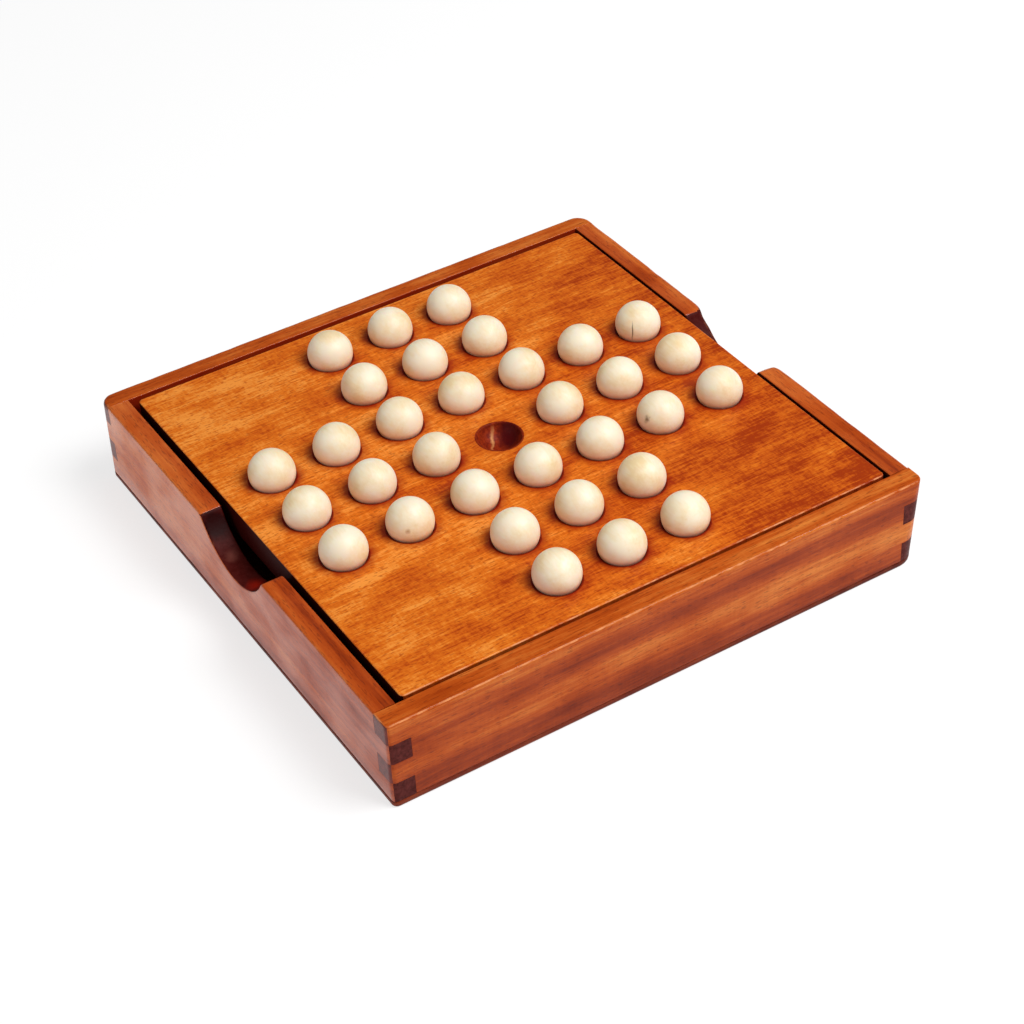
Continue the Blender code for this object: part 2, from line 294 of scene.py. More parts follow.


# Bleached boxwood turned into balls and tumbled with wax: a warm cream with faint fibres, a soft
# glow under the surface and a broad, satin highlight. A faint orange ring on each ball at the lip
# of its socket is a painted reflection of the board.
def polishedBoxwood(name, look, marks=()):
    material, tree = newMaterial(name)
    coords = addNode(tree, "ShaderNodeTexCoord").outputs["Object"]
    patches = addNode(tree, "ShaderNodeTexNoise", {"Scale": 1 / look["patchSize"], "Detail": 2.0},
                      {"Vector": coords})
    across, along = 1 / look["fibreWidth"], 1 / look["fibreLength"]
    stretched = addNode(tree, "ShaderNodeMapping",
                        {"Scale": (across, along, across), "Rotation": look["fibreTurn"]}, {"Vector": coords})
    fibres = addNode(tree, "ShaderNodeTexNoise", {"Scale": 1.0, "Detail": 3.0, "Roughness": 0.6},
                     {"Vector": stretched})
    mixed = addNode(tree, "ShaderNodeMath", {1: look["fibreShare"]}, {0: fibres, 2: patches},
                    operation="MULTIPLY_ADD")
    tone = addNode(tree, "ShaderNodeValToRGB", links={"Fac": mixed})
    setRamp(tone, look["tone"])
    blush = addNode(tree, "ShaderNodeTexNoise", {"Scale": 1 / look["blushSize"], "Detail": 2.0},
                    {"Vector": coords})
    blushMask = addNode(tree, "ShaderNodeMapRange",
                        {"From Min": 0.5, "From Max": 0.7, "To Max": look["blushShare"]}, {"Value": blush})
    height = addNode(tree, "ShaderNodeSeparateXYZ", links={0: coords}).outputs["Z"]
    # A ring of painted reflection of the orange board, at the height of its top.
    aboveLip = addNode(tree, "ShaderNodeMath", {1: boardHigh.z}, {0: height}, operation="SUBTRACT")
    fromLip = addNode(tree, "ShaderNodeMath", links={0: aboveLip}, operation="ABSOLUTE")
    boardReflectionMask = addNode(tree, "ShaderNodeMapRange",
                        {"From Min": look["boardReflectionReach"], "From Max": 0.0, "To Max": look["boardReflectionShare"]},
                        {"Value": fromLip}, interpolation_type="SMOOTHSTEP")
    layers = [(blushMask, look["blush"]), (boardReflectionMask, look["boardReflection"])]
    layers += [(markMask(tree, coords, mark), mark["colour"]) for mark in marks]
    colour = layColours(tree, tone, layers)
    bump = addNode(tree, "ShaderNodeBump", {"Strength": look["relief"], "Distance": look["reliefDepth"]},
                   {"Height": fibres})
    shader = addNode(tree, "ShaderNodeBsdfPrincipled",
                     {"Roughness": look["rough"], "IOR": 1.5, "Subsurface Weight": look["glow"],
                      "Subsurface Radius": look["glowColours"], "Subsurface Scale": look["glowDepth"],
                      "Coat Weight": look["coat"], "Coat Roughness": look["coatRough"]},
                     {"Base Color": colour, "Normal": bump})
    addNode(tree, "ShaderNodeOutputMaterial", links={"Surface": shader})
    return material


ballLook = {
    "fibreWidth": 0.0006, "fibreLength": 0.006, "fibreShare": 0.35, "fibreTurn": (0.5, 0.3, 0.2),
    "tone": ((0.46, "#f0d6a6"), (0.60, "#f7e3be"), (0.78, "#fceed4")), "patchSize": 0.007,
    "blush": "#f8d6bc", "blushSize": 0.004, "blushShare": 0.12,
    # The orange ring is a painted reflection of the board.
    "boardReflection": "#d05c18", "boardReflectionReach": 0.0019, "boardReflectionShare": 0.38,
    "rough": 0.50, "coat": 0.12, "coatRough": 0.40, "relief": 0.12, "reliefDepth": 0.00005,
    "glow": 0.25, "glowDepth": 0.002, "glowColours": (1.0, 0.6, 0.3),
}

# Marks lie where the photograph shows them, so their places are given as seen from the camera.
imageRight = Vector((0.845, -0.532, -0.048))
imageUp = Vector((0.366, 0.512, 0.777))
towardsViewer = Vector((-0.389, -0.674, 0.628))


def markAt(origin, right=0, up=0, towards=0, **mark):
    place = origin + imageRight * right + imageUp * up + towardsViewer * towards
    return dict(mark, place=place, across=imageRight, along=imageUp)


# A crack, a knot and a faint stain on single balls; "at" is a direction from the ball's centre.
ballMarks = {
    "ball_r3_c7": {
        "at": (-0.28, -0.45, 0.84), "width": 0.00022, "length": 0.0032, "colour": "#5a3a1c",
        "strength": 0.9, "core": 0.3, "rag": 0.0004, "ragSize": 0.002},
    "ball_r5_c6": {
        "at": (-0.60, -0.25, 0.75), "width": 0.0009, "length": 0.0012, "colour": "#6a4018",
        "strength": 0.8, "core": 0.2, "rag": 0.0016, "ragSize": 0.0012},
    "ball_r5_c2": {
        "at": (-0.05, -0.40, 0.91), "width": 0.0008, "length": 0.0007, "colour": "#b88a52",
        "strength": 0.7, "core": 0.2, "rag": 0.0008, "ragSize": 0.0015},
}


def markOnBall(mark, low, high):
    radius = (high.z - low.z) / 2
    out = Vector(mark["at"]).normalized() * radius
    return markAt((low + high) / 2, *out, **dict(mark, depth=radius / 2))


# In the empty socket a dark patch on the right is painted shade, and a pale streak runs down beside it.
socketMouth = Vector((boardCentre.x, boardCentre.y, boardHigh.z))
socketMarks = (
    markAt(socketMouth, 0.0027, 0.0006, -0.0045, width=0.0036, length=0.0060, depth=0.0060,
           colour="#460208", strength=0.9, core=0.5, rag=0.0014, ragSize=0.0020),
    markAt(socketMouth, -0.0018, -0.0008, -0.0042, width=0.0006, length=0.0040, depth=0.0060,
           colour="#e09a5c", strength=0.8, core=0.1, rag=0.0014, ragSize=0.0015),
)

# The left notch is nearly black at its back shoulder, has a pale painted highlight below it and is a brighter
# red further forward.
notchMouth = Vector((leftLow.x, 0, leftHigh.z))
notchMarks = (
    markAt(notchMouth + Vector((0.0029, 0.0135, -0.0030)), width=0.0050, length=0.0050, depth=0.006,
           colour="#240202", strength=0.95, core=0.5, rag=0.0020, ragSize=0.0020),
    markAt(notchMouth + Vector((0.0029, 0.0066, -0.0084)), width=0.0022, length=0.0022, depth=0.004,
           colour="#7a4036", strength=0.6, core=0.1, rag=0.0022, ragSize=0.0012),
    markAt(notchMouth + Vector((0.0029, -0.0062, -0.0088)), width=0.0030, length=0.0026, depth=0.006,
           colour="#a41c08", strength=0.7, core=0.1, rag=0.0016, ragSize=0.0020),
)


def newPiece(name, bm, material):
    mesh = bpy.data.meshes.new(name)
    bm.to_mesh(mesh)
    bm.free()
    mesh.materials.append(material)
    piece = bpy.data.objects.new(name, mesh)
    bpy.context.scene.collection.objects.link(piece)
    return piece


def evaluatedMesh(piece):
    depsgraph = bpy.context.evaluated_depsgraph_get()
    return bpy.data.meshes.new_from_object(piece.evaluated_get(depsgraph), preserve_all_data_layers=True,
                                           depsgraph=depsgraph)


def settleShading(piece, sharpAngle=math.radians(38), flatWeight=90):
    mesh = piece.data
    mesh.shade_smooth()
    mesh.set_sharp_from_angle(angle=sharpAngle)
    weighted = piece.modifiers.new("flat faces lead", "WEIGHTED_NORMAL")
    weighted.keep_sharp = True
    weighted.weight = flatWeight
    finished = evaluatedMesh(piece)
    finished.name = piece.name
    piece.modifiers.clear()
    piece.data = finished
    bpy.data.meshes.remove(mesh)
    return piece


def fit(piece, node, body):
    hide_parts(node)
    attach(piece, body)


# What the wood's material reads from a mesh, all by face: rubbed places, whose paler colour is also a painted
# highlight, wood cut across, and painted shade. The board also has, by vertex, a ring of stain and painted
# shadow round its sockets.
def paintedLayers(bm):
    return [bm.faces.layers.float.new(name) for name in ("wear", "cutGrain", "sheltered")]


def arcPoints(centreX, centreZ, radius, start, end, steps):
    angles = [start + (end - start) * step / steps for step in range(steps + 1)]
    return [(centreX + radius * math.cos(angle), centreZ + radius * math.sin(angle)) for angle in angles]


# A rounded edge as insets and drops, from the flat face to the side.
def roundedEdge(radius, steps):
    angles = [quarterTurn * step / steps for step in range(steps + 1)]
    return [(radius * (1 - math.sin(angle)), radius * (1 - math.cos(angle))) for angle in angles]


boxSettings = {
    "half": (frontHigh.x - frontLow.x) / 2,
    "thickness": frontHigh.y - frontLow.y,
    "top": frontHigh.z,
    "seam": 0.00005,          # what is left of a glue line after sanding
    "fingers": 4,
    "cornerRadius": 0.0013,   # of the blank, before each corner is drawn in to its own radius
    "cornerSteps": 6,
    "corners": {              # radius of each upright corner at the foot and at the top
        "backRight": (0.0030, 0.0046),
        "backLeft": (0.0022, 0.0038),
        "frontLeft": (0.0015, 0.0012),
        "frontRight": (0.0058, 0.0023),
    },
    "rimInside": 0.0003,
    "footRadius": 0.00025,
    "edgeSteps": 4,
    "slice": 0.0021,          # spacing of the cuts that let the rim waver
    "fineSlice": 0.0005,      # and of those near the corners
    "fineReach": 0.0056,
    "heightSlice": 0.0011,
    "depthSlices": 10,
    "waver": 0.00012,
    "waverLength": 0.007,
    "waverReach": 1.6,        # how far the waver goes past the rim, in rim radii
    "waverLean": 0.8,         # how much it sinks downwards for each step inwards
    "chipShare": 1.4,
    "chipFrom": 0.15,
    "chipRate": 3.1,
    "notchRadius": 0.018,
    "notchDepth": 0.0097,
    "notchSteps": 40,
    "notchRim": 0.0004,       # above this the notch is still part of the rim
    "shoulderRadius": 0.0020,
    "shoulderSteps": 7,
    "rubFrom": 0.0207,        # from here towards the notch the outer edge is rubbed round
    "rubReach": 0.0052,
    "rubBand": 0.0040,
    "rubDepth": 0.0050,
    "rubLean": 0.3,
    "rubSlice": 0.0006,
    "cornerWearAndHighlight": 0.35,       # how far the paler wood shows on each rounded edge, as rubbing and as painted highlight
    "rimWearAndHighlight": 1.0,
    "insideWearAndHighlight": 0.12,
    "footWearAndHighlight": 1.0,
    "notchWearAndHighlight": 0.3,
    # The notch gets this share of painted shade.
    "notchPaintedShade": 0.75,
    "wearAndHighlightPeak": 1.3,          # rubbing and painted highlight are strongest halfway round an edge and fade to both sides
    "wearAndHighlightFall": 4.5,
}


def wallOutline(notched, bottom):
    s = boxSettings
    height = (s["top"] - bottom) / s["fingers"]
    rightEnd = []
    for course in range(s["fingers"]):
        isTab = (course % 2 == 0) == notched
        reach = s["half"] if isTab else s["half"] - s["thickness"] - s["seam"]
        inset = s["seam"] / 2 if isTab else -s["seam"] / 2
        low = bottom + course * height + (inset if course else 0)
        high = bottom + (course + 1) * height - (inset if course < s["fingers"] - 1 else 0)
        rightEnd += [(reach, low), (reach, high)]
    leftEnd = [(-x, z) for x, z in reversed(rightEnd)]
    topEdge = []
    if notched:
        level = s["top"] + s["notchRadius"] - s["notchDepth"]
        shoulderLevel = s["top"] - s["shoulderRadius"]
        rise = level - shoulderLevel
        shoulderX = math.sqrt((s["notchRadius"] + s["shoulderRadius"]) ** 2 - rise ** 2)
        meet = math.atan2(rise, -shoulderX)
        right = arcPoints(shoulderX, shoulderLevel, s["shoulderRadius"], quarterTurn, meet,
                          s["shoulderSteps"])
        dip = arcPoints(0, level, s["notchRadius"], meet - math.pi, -meet, s["notchSteps"])
        topEdge = right + dip[1:-1] + [(-x, z) for x, z in reversed(right)]
    return rightEnd + topEdge + leftEnd


def bevelEdges(bm, radius, steps, wearAndHighlightLayer, amount, chosen):
    bm.normal_update()
    edges = [edge for edge in bm.edges if len(edge.link_faces) == 2 and chosen(edge)]
    made = bmesh.ops.bevel(bm, geom=edges, offset=radius, offset_type="OFFSET", segments=steps,
                           profile=0.5, affect="EDGES", clamp_overlap=False)
    for face in made["faces"]:
        face[wearAndHighlightLayer] = amount


# Hand sanding lets the outer rim waver by a tenth of a millimetre and takes small chips from it.
def waverRim(bm, seed, rim):
    s = boxSettings
    for vertex in bm.verts:
        place = vertex.co
        nearRim = 1 - max(s["top"] - place.z, s["half"] - place.y) / (s["waverReach"] * rim)
        if nearRim > 0:
            along = place.x / s["waverLength"]
            lump = noise.noise(Vector((along, seed, 2.7)))
            chip = max(0.0, noise.noise(Vector((along * s["chipRate"], seed, 5.3))) - s["chipFrom"])
            sink = s["waver"] * nearRim * (0.5 + 0.5 * lump + s["chipShare"] * chip)
            vertex.co = place + Vector((0, -sink, -sink * s["waverLean"]))


# Beside its notch the outer edge of a wall is rubbed round in plan, less and less further down.
def rubShoulders(bm, rub):
    s = boxSettings
    for vertex in bm.verts:
        x, y, z = vertex.co
        close = min(1.0, max(0.0, (s["rubFrom"] - abs(x)) / s["rubReach"]))
        outward = max(0.0, 1 - (s["half"] - y) / s["rubBand"])
        high = max(0.0, 1 - (s["top"] - z) / s["rubDepth"])
        inset = rub * close ** 3 * high * outward * outward * (3 - 2 * outward)
        vertex.co = (x, y - inset, z - inset * s["rubLean"])


# One upright corner, drawn in to a radius that changes evenly from the foot to the top.
def roundCorner(bm, side, corner, rim):
    s = boxSettings
    atFoot, atTop = s["corners"][corner]
    for vertex in bm.verts:
        x, y, z = vertex.co
        rise = max(0.0, (z - baseHigh.z) / (s["top"] - baseHigh.z))
        radius = atFoot + (atTop - atFoot) * rise
        overRim = min(rim, max(0.0, z - (s["top"] - rim)))
        reach = radius - rim + math.sqrt(rim ** 2 - overRim ** 2)
        centre = Vector((side * (s["half"] - radius), s["half"] - radius))
        away = Vector((x, y)) - centre
        if away.x * side > 0 and away.y > 0 and away.length > reach:
            away *= reach / away.length
            vertex.co = (centre.x + away.x, centre.y + away.y, z)


def slicePlaces(rub):
    s = boxSettings
    fine = [s["half"] - s["fineSlice"] * step for step in range(1, int(s["fineReach"] / s["fineSlice"]) + 1)]
    count = int(2 * s["half"] / s["slice"])
    coarse = [-s["half"] + s["slice"] * step for step in range(2, count)]
    coarse = [place for place in coarse if abs(place) < s["half"] - s["fineReach"]]
    if rub:
        fine += [s["rubFrom"] - s["rubSlice"] * step for step in range(int(s["rubReach"] / s["rubSlice"]))]
    return [-place for place in fine] + coarse + fine


def cutAcross(bm, along, places):
    for place in places:
        bmesh.ops.bisect_plane(bm, geom=bm.verts[:] + bm.edges[:] + bm.faces[:], dist=sliver,
                               plane_co=along * place, plane_no=along)


# Marks each face of a wall as rubbed, which also paints a highlight, as cut across the grain, or as in
# painted shade: the inner faces in full and the notch in part.
def paintWall(bm, notched, layers):
    s = boxSettings
    wearAndHighlightLayer, cutLayer, paintedShadeLayer = layers
    for face in bm.faces:
        centre = face.calc_center_median()
        normal = face.normal
        inNotch = (notched and abs(centre.x) < s["notchRadius"] and centre.z < s["top"] - s["notchRim"]
                   and abs(normal.y) < 0.8 and normal.z > 0.02)
        atEnd = (abs(centre.x) > s["half"] - s["thickness"] / 2 and abs(normal.x) > 0.7 and normal.z < 0.6)
        face[cutLayer] = 1.0 if inNotch or atEnd else 0.0
        face[paintedShadeLayer] = 1.0 if normal.y < -0.9 else s["notchPaintedShade"] if inNotch else 0.0
        fromMiddle = abs(abs(normal.z) - math.sqrt(0.5))
        face[wearAndHighlightLayer] *= min(1.0, max(0.0, s["wearAndHighlightPeak"] - s["wearAndHighlightFall"] * fromMiddle))
        if inNotch:
            face[wearAndHighlightLayer] *= s["notchWearAndHighlight"]


# A wall is drawn lying in its own frame: X along it, Y outwards and Z up. Its outline is extruded,
# then the outer corners, both rims and the foot are rounded one after the other.
def makeWall(name, turn, material, corners, rim, rub=0.0, notched=False):
    s = boxSettings
    bottom = baseHigh.z + s["seam"]
    inner = s["half"] - s["thickness"]
    outer = s["half"]
    bm = bmesh.new()
    layers = paintedLayers(bm)
    wearAndHighlightLayer = layers[0]
    flat = bm.faces.new([bm.verts.new((x, inner, z)) for x, z in wallOutline(notched, bottom)])
    grown = bmesh.ops.extrude_face_region(bm, geom=[flat])
    bmesh.ops.translate(bm, vec=(0, s["thickness"], 0),
                        verts=[v for v in grown["geom"] if isinstance(v, bmesh.types.BMVert)])
    bmesh.ops.recalc_face_normals(bm, faces=bm.faces)
    shoulder = inner - s["seam"]
    cutAcross(bm, Vector((1, 0, 0)), (-shoulder, shoulder))

    def at(value, target):
        return abs(value - target) < matching

    def topOrNotch(face):
        high = all(at(v.co.z, s["top"]) for v in face.verts)
        inNotch = notched and all(abs(v.co.x) < s["notchRadius"] + s["shoulderRadius"] for v in face.verts)
        return face.normal.z > 0.05 and (high or inNotch)

    def outside(face):
        atEnd = all(abs(v.co.x) > s["half"] - s["cornerRadius"] - sliver for v in face.verts)
        return abs(face.normal.z) < 0.1 and (face.normal.y > 0.05 or (atEnd and face.normal.y > -0.05))

    def inside(face):
        return face.normal.y < -0.9

    def underneath(face):
        return face.normal.z < -0.9 and at(face.calc_center_median().z, bottom)

    def upright(edge):
        return all(at(abs(v.co.x), s["half"]) and at(v.co.y, outer) for v in edge.verts)

    def between(first, second):
        def chosen(edge):
            one, two = edge.link_faces
            return (first(one) and second(two)) or (first(two) and second(one))
        return chosen

    # Each rounded edge gets its share of rubbed colour, which is also a painted highlight.
    for radius, steps, wear, chosen in (
            (s["cornerRadius"], s["cornerSteps"], s["cornerWearAndHighlight"], upright),
            (rim, s["edgeSteps"], s["rimWearAndHighlight"], between(topOrNotch, outside)),
            (s["rimInside"], s["edgeSteps"] - 1, s["insideWearAndHighlight"], between(topOrNotch, inside)),
            (s["footRadius"], 2, s["footWearAndHighlight"], between(outside, underneath))):
        bevelEdges(bm, radius, steps, wearAndHighlightLayer, wear, chosen)
    cutAcross(bm, Vector((1, 0, 0)), slicePlaces(rub))
    rises = int((s["top"] - bottom) / s["heightSlice"])
    cutAcross(bm, Vector((0, 0, 1)), [bottom + s["heightSlice"] * step for step in range(1, rises)])
    depths = range(2, s["depthSlices"] + 1)
    cutAcross(bm, Vector((0, 1, 0)), [outer - s["fineSlice"] * step for step in depths])
    waverRim(bm, turn + 1, rim)
    rubShoulders(bm, rub)
    for side, corner in zip((-1, 1), corners):
        roundCorner(bm, side, corner, rim)
    bm.normal_update()
    paintWall(bm, notched, layers)
    bm.transform(Matrix.Rotation(turn, 4, "Z"))
    return settleShading(newPiece(name, bm, material))


# The corners come in the order back right, back left, front left and front right.
def roundedSquare(half, radii, steps):
    points = []
    for quarter, radius in enumerate(radii):
        turn = Matrix.Rotation(quarter * quarterTurn, 2)
        for x, y in arcPoints(half - radius, half - radius, radius, 0, quarterTurn, steps):
            points.append(turn @ Vector((x, y)))
    return points


def addLoop(bm, points, z, centre=(0, 0)):
    return [bm.verts.new((p.x + centre[0], p.y + centre[1], z)) for p in points]


def joinLoops(bm, lower, upper):
    count = len(lower)
    return [bm.faces.new((lower[i], lower[(i + 1) % count], upper[(i + 1) % count], upper[i]))
            for i in range(count)]


baseSettings = {
    "footRadius": 0.0008,
    "footSteps": 6,
    "topArris": 0.0003,
    "wear": 0.5,
}


# The base panel: its foot is rounded right round the box.
def makeBase(material):
    s = baseSettings
    half = boxSettings["half"]
    bm = bmesh.new()
    wearAndHighlightLayer = paintedLayers(bm)[0]
    levels = roundedEdge(s["footRadius"], s["footSteps"])
    levels += [(0, baseHigh.z - s["topArris"]), (s["topArris"], baseHigh.z)]
    rings = []
    for inset, z in levels:
        radii = [atFoot - inset for atFoot, atTop in boxSettings["corners"].values()]
        rings.append(addLoop(bm, roundedSquare(half - inset, radii, boxSettings["cornerSteps"]), z))
    bm.faces.new(list(reversed(rings[0])))
    for lower, upper in zip(rings, rings[1:]):
        for face in joinLoops(bm, lower, upper):
            face[wearAndHighlightLayer] = s["wear"]
    bm.faces.new(rings[-1])
    return settleShading(newPiece("basePanel", bm, material))


boardSettings = {
    "pitch": 0.0182,
    "across": 7,
    "arm": 3,
    "around": 48,             # points round each socket, a multiple of 8
    "arris": 0.0004,
    "arrisSteps": 4,
    "cornerRadius": 0.0012,
    "cornerSteps": 6,         # an even number, so that each corner has a middle
    "rimFillet": 0.00032,
    "rimSteps": 4,
    "halo": 0.0027,           # width of the darker ring of stain and painted shadow round each socket
    "lipShadeWidth": 0.00026,      # and of the nearly black ring of painted shade right at the lip
    "lipPaintedShade": 0.35,
    "emptyShare": 0.25,       # how much of the ring and of the painted shade the empty socket keeps, having no ball
    "bowlSteps": 12,
    "play": 0.00010,          # between a ball and the bowl it sits in
    "weld": 0.00002,
    "frontCut": 0.75,         # the front side has no painted shade and is less dark than the others
    "hiddenWearAndHighlight": 0.1,        # the front arris is rubbed in full, with its painted highlight, and the others by this share
}


# A square of board begins with its edge, whose points face those of the bowl.
def startTile():
    s = boardSettings
    bm = bmesh.new()
    layers = paintedLayers(bm)
    stainAndShadowLayer = bm.verts.layers.float.new("halo")
    angles = [2 * math.pi * k / s["around"] for k in range(s["around"])]
    edge = []
    for angle in angles:
        reach = s["pitch"] / 2 / max(abs(math.cos(angle)), abs(math.sin(angle)))
        edge.append(bm.verts.new((reach * math.cos(angle), reach * math.sin(angle), 0)))
    return bm, layers, stainAndShadowLayer, angles, edge


# One square with a bowl in it. The bowl has the ball's own radius, and its lip is eased.
def socketTile(ballRadius, ballRise):
    s = boardSettings
    bm, (wearAndHighlightLayer, cutLayer, paintedShadeLayer), stainAndShadowLayer, angles, edge = startTile()
    bowl = ballRadius + s["play"]
    lip = s["rimFillet"]
    lipCentre = math.sqrt((bowl + lip) ** 2 - (ballRise + lip) ** 2)
    meet = math.atan2(ballRise + lip, -lipCentre)
    profile = [(lipCentre + s["halo"], 0), (lipCentre + s["lipShadeWidth"], 0)]
    profile += arcPoints(lipCentre, -lip, lip, quarterTurn, meet, s["rimSteps"])
    lowest = math.atan2(lipCentre, ballRise + lip)
    for step in range(1, s["bowlSteps"]):
        angle = lowest * (1 - step / s["bowlSteps"])
        profile.append((bowl * math.sin(angle), ballRise - bowl * math.cos(angle)))
    rings = [edge]
    for radius, z in profile:
        rings.append([bm.verts.new((radius * math.cos(a), radius * math.sin(a), z)) for a in angles])
    for number, (wide, narrow) in enumerate(zip(rings, rings[1:])):
        for face in joinLoops(bm, wide, narrow):
            face[cutLayer] = 1.0 if number > 1 else 0.0
            # The lip faces get painted shade.
            face[paintedShadeLayer] = s["lipPaintedShade"] if 2 <= number <= s["rimSteps"] + 3 else 0.0
    pole = bm.verts.new((0, 0, ballRise - bowl))
    # The ring of stain and painted shadow fades in towards the lip and covers the bowl.
    for vertex in sum(rings[2:], [pole]):
        vertex[stainAndShadowLayer] = 1.0
    last = rings[-1]
    for i in range(len(last)):
        face = bm.faces.new((last[i], last[(i + 1) % len(last)], pole))
        face[cutLayer] = 1.0
    return bm


def plainTile():
    bm, layers, stainAndShadowLayer, angles, edge = startTile()
    bm.faces.new(edge)
    return bm


def newTree(name, inputs):
    tree = bpy.data.node_groups.new(name, "GeometryNodeTree")
    for label, kind in inputs:
        tree.interface.new_socket(label, in_out="INPUT", socket_type="NodeSocket" + kind)
    tree.interface.new_socket("Geometry", in_out="OUTPUT", socket_type="NodeSocketGeometry")
    return tree, addNode(tree, "NodeGroupInput").outputs


def finishTree(tree, shape, finish):
    finished = addNode(tree, "GeometryNodeSetMaterial", links={"Geometry": shape, "Material": finish})
    addNode(tree, "NodeGroupOutput", links={0: finished})
    return tree


# Geometry Nodes lay the tiles out: a bowl wherever a row or column of the cross passes, plain elsewhere.
def socketFieldTree():
    tree, given = newTree("socketField", (("Pitch", "Float"), ("Across", "Int"), ("Arm", "Int"),
                                          ("Bowl Tile", "Object"), ("Plain Tile", "Object"),
                                          ("Finish", "Material")))
    gaps = addNode(tree, "ShaderNodeMath", {1: 1.0}, {0: given["Across"]}, operation="SUBTRACT")
    size = addNode(tree, "ShaderNodeMath", links={0: gaps, 1: given["Pitch"]}, operation="MULTIPLY")
    grid = addNode(tree, "GeometryNodeMeshGrid",
                   links={"Size X": size, "Size Y": size, "Vertices X": given["Across"],
                          "Vertices Y": given["Across"]})
    position = addNode(tree, "GeometryNodeInputPosition")
    place = addNode(tree, "ShaderNodeSeparateXYZ", links={0: position})
    reach = addNode(tree, "ShaderNodeMath", links={0: given["Arm"], 1: given["Pitch"]}, operation="MULTIPLY")
    half = addNode(tree, "ShaderNodeMath", {1: 0.5}, {0: reach}, operation="MULTIPLY")
    inArm = []
    for axis in ("X", "Y"):
        away = addNode(tree, "ShaderNodeMath", links={0: place.outputs[axis]}, operation="ABSOLUTE")
        inArm.append(addNode(tree, "FunctionNodeCompare", links={0: away, 1: half}, data_type="FLOAT",
                             operation="LESS_THAN"))
    inCross = addNode(tree, "FunctionNodeBooleanMath", links={0: inArm[0], 1: inArm[1]}, operation="OR")
    outside = addNode(tree, "FunctionNodeBooleanMath", links={0: inCross}, operation="NOT")
    joined = addNode(tree, "GeometryNodeJoinGeometry")
    for tile, chosen in (("Plain Tile", outside), ("Bowl Tile", inCross)):
        shape = addNode(tree, "GeometryNodeObjectInfo", links={"Object": given[tile]})
        laid = addNode(tree, "GeometryNodeInstanceOnPoints",
                       links={"Points": grid, "Selection": chosen, "Instance": shape.outputs["Geometry"]})
        tree.links.new(laid.outputs["Instances"], joined.inputs[0])
    whole = addNode(tree, "GeometryNodeRealizeInstances", links={0: joined})
    merged = addNode(tree, "GeometryNodeMergeByDistance", {"Distance": boardSettings["weld"]},
                     {"Geometry": whole})
    return finishTree(tree, merged, given["Finish"])


def giveInputs(modifier, values):
    for item in modifier.node_group.interface.items_tree:
        if item.item_type == "SOCKET" and item.in_out == "INPUT" and item.name in values:
            modifier[item.identifier] = values[item.name]


# The laid-out field of sockets, with its middle at the origin and its top at zero.
def socketField(material):
    s = boardSettings
    ballLow, ballHigh = (Vector(corner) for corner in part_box(ballNodes[0]))
    ballRadius = (ballHigh.z - ballLow.z) / 2
    ballRise = (ballHigh.z + ballLow.z) / 2 - boardHigh.z
    bowlTile = newPiece("bowlTile", socketTile(ballRadius, ballRise), material)
    flatTile = newPiece("flatTile", plainTile(), material)
    field = newPiece("socketField", bmesh.new(), material)
    layout = field.modifiers.new("socket field", "NODES")
    layout.node_group = socketFieldTree()
    giveInputs(layout, {"Pitch": s["pitch"], "Across": s["across"], "Arm": s["arm"], "Bowl Tile": bowlTile,
                        "Plain Tile": flatTile, "Finish": material})
    fieldMesh = evaluatedMesh(field)
    for helper in (bowlTile, flatTile, field):
        bpy.data.objects.remove(helper, do_unlink=True)
    bm = bmesh.new()
    bm.from_mesh(fieldMesh)
    bpy.data.meshes.remove(fieldMesh)
    return bm


# Four flat strips join the field of tiles to the outer ring; they meet on the corners' diagonals.
def addMargin(bm, ring):
    fieldHalf = boardSettings["pitch"] * boardSettings["across"] / 2
    rim = [v for v in bm.verts if v.is_boundary and v not in ring]
    count = len(ring) // 4
    for quarter in range(4):
        turn = Matrix.Rotation(quarter * quarterTurn, 2)
        out = turn @ Vector((1, 0))
        along = turn @ Vector((0, 1))
        side = [v for v in rim if abs((v.co.xy - boardCentre.xy).dot(out) - fieldHalf) < matching]
        side.sort(key=lambda v: -(v.co.xy - boardCentre.xy).dot(along))
        start = quarter * count - count // 2 - 1
        outer = [ring[(start + step) % len(ring)] for step in range(count + 1)]
        bm.faces.new(outer + side)


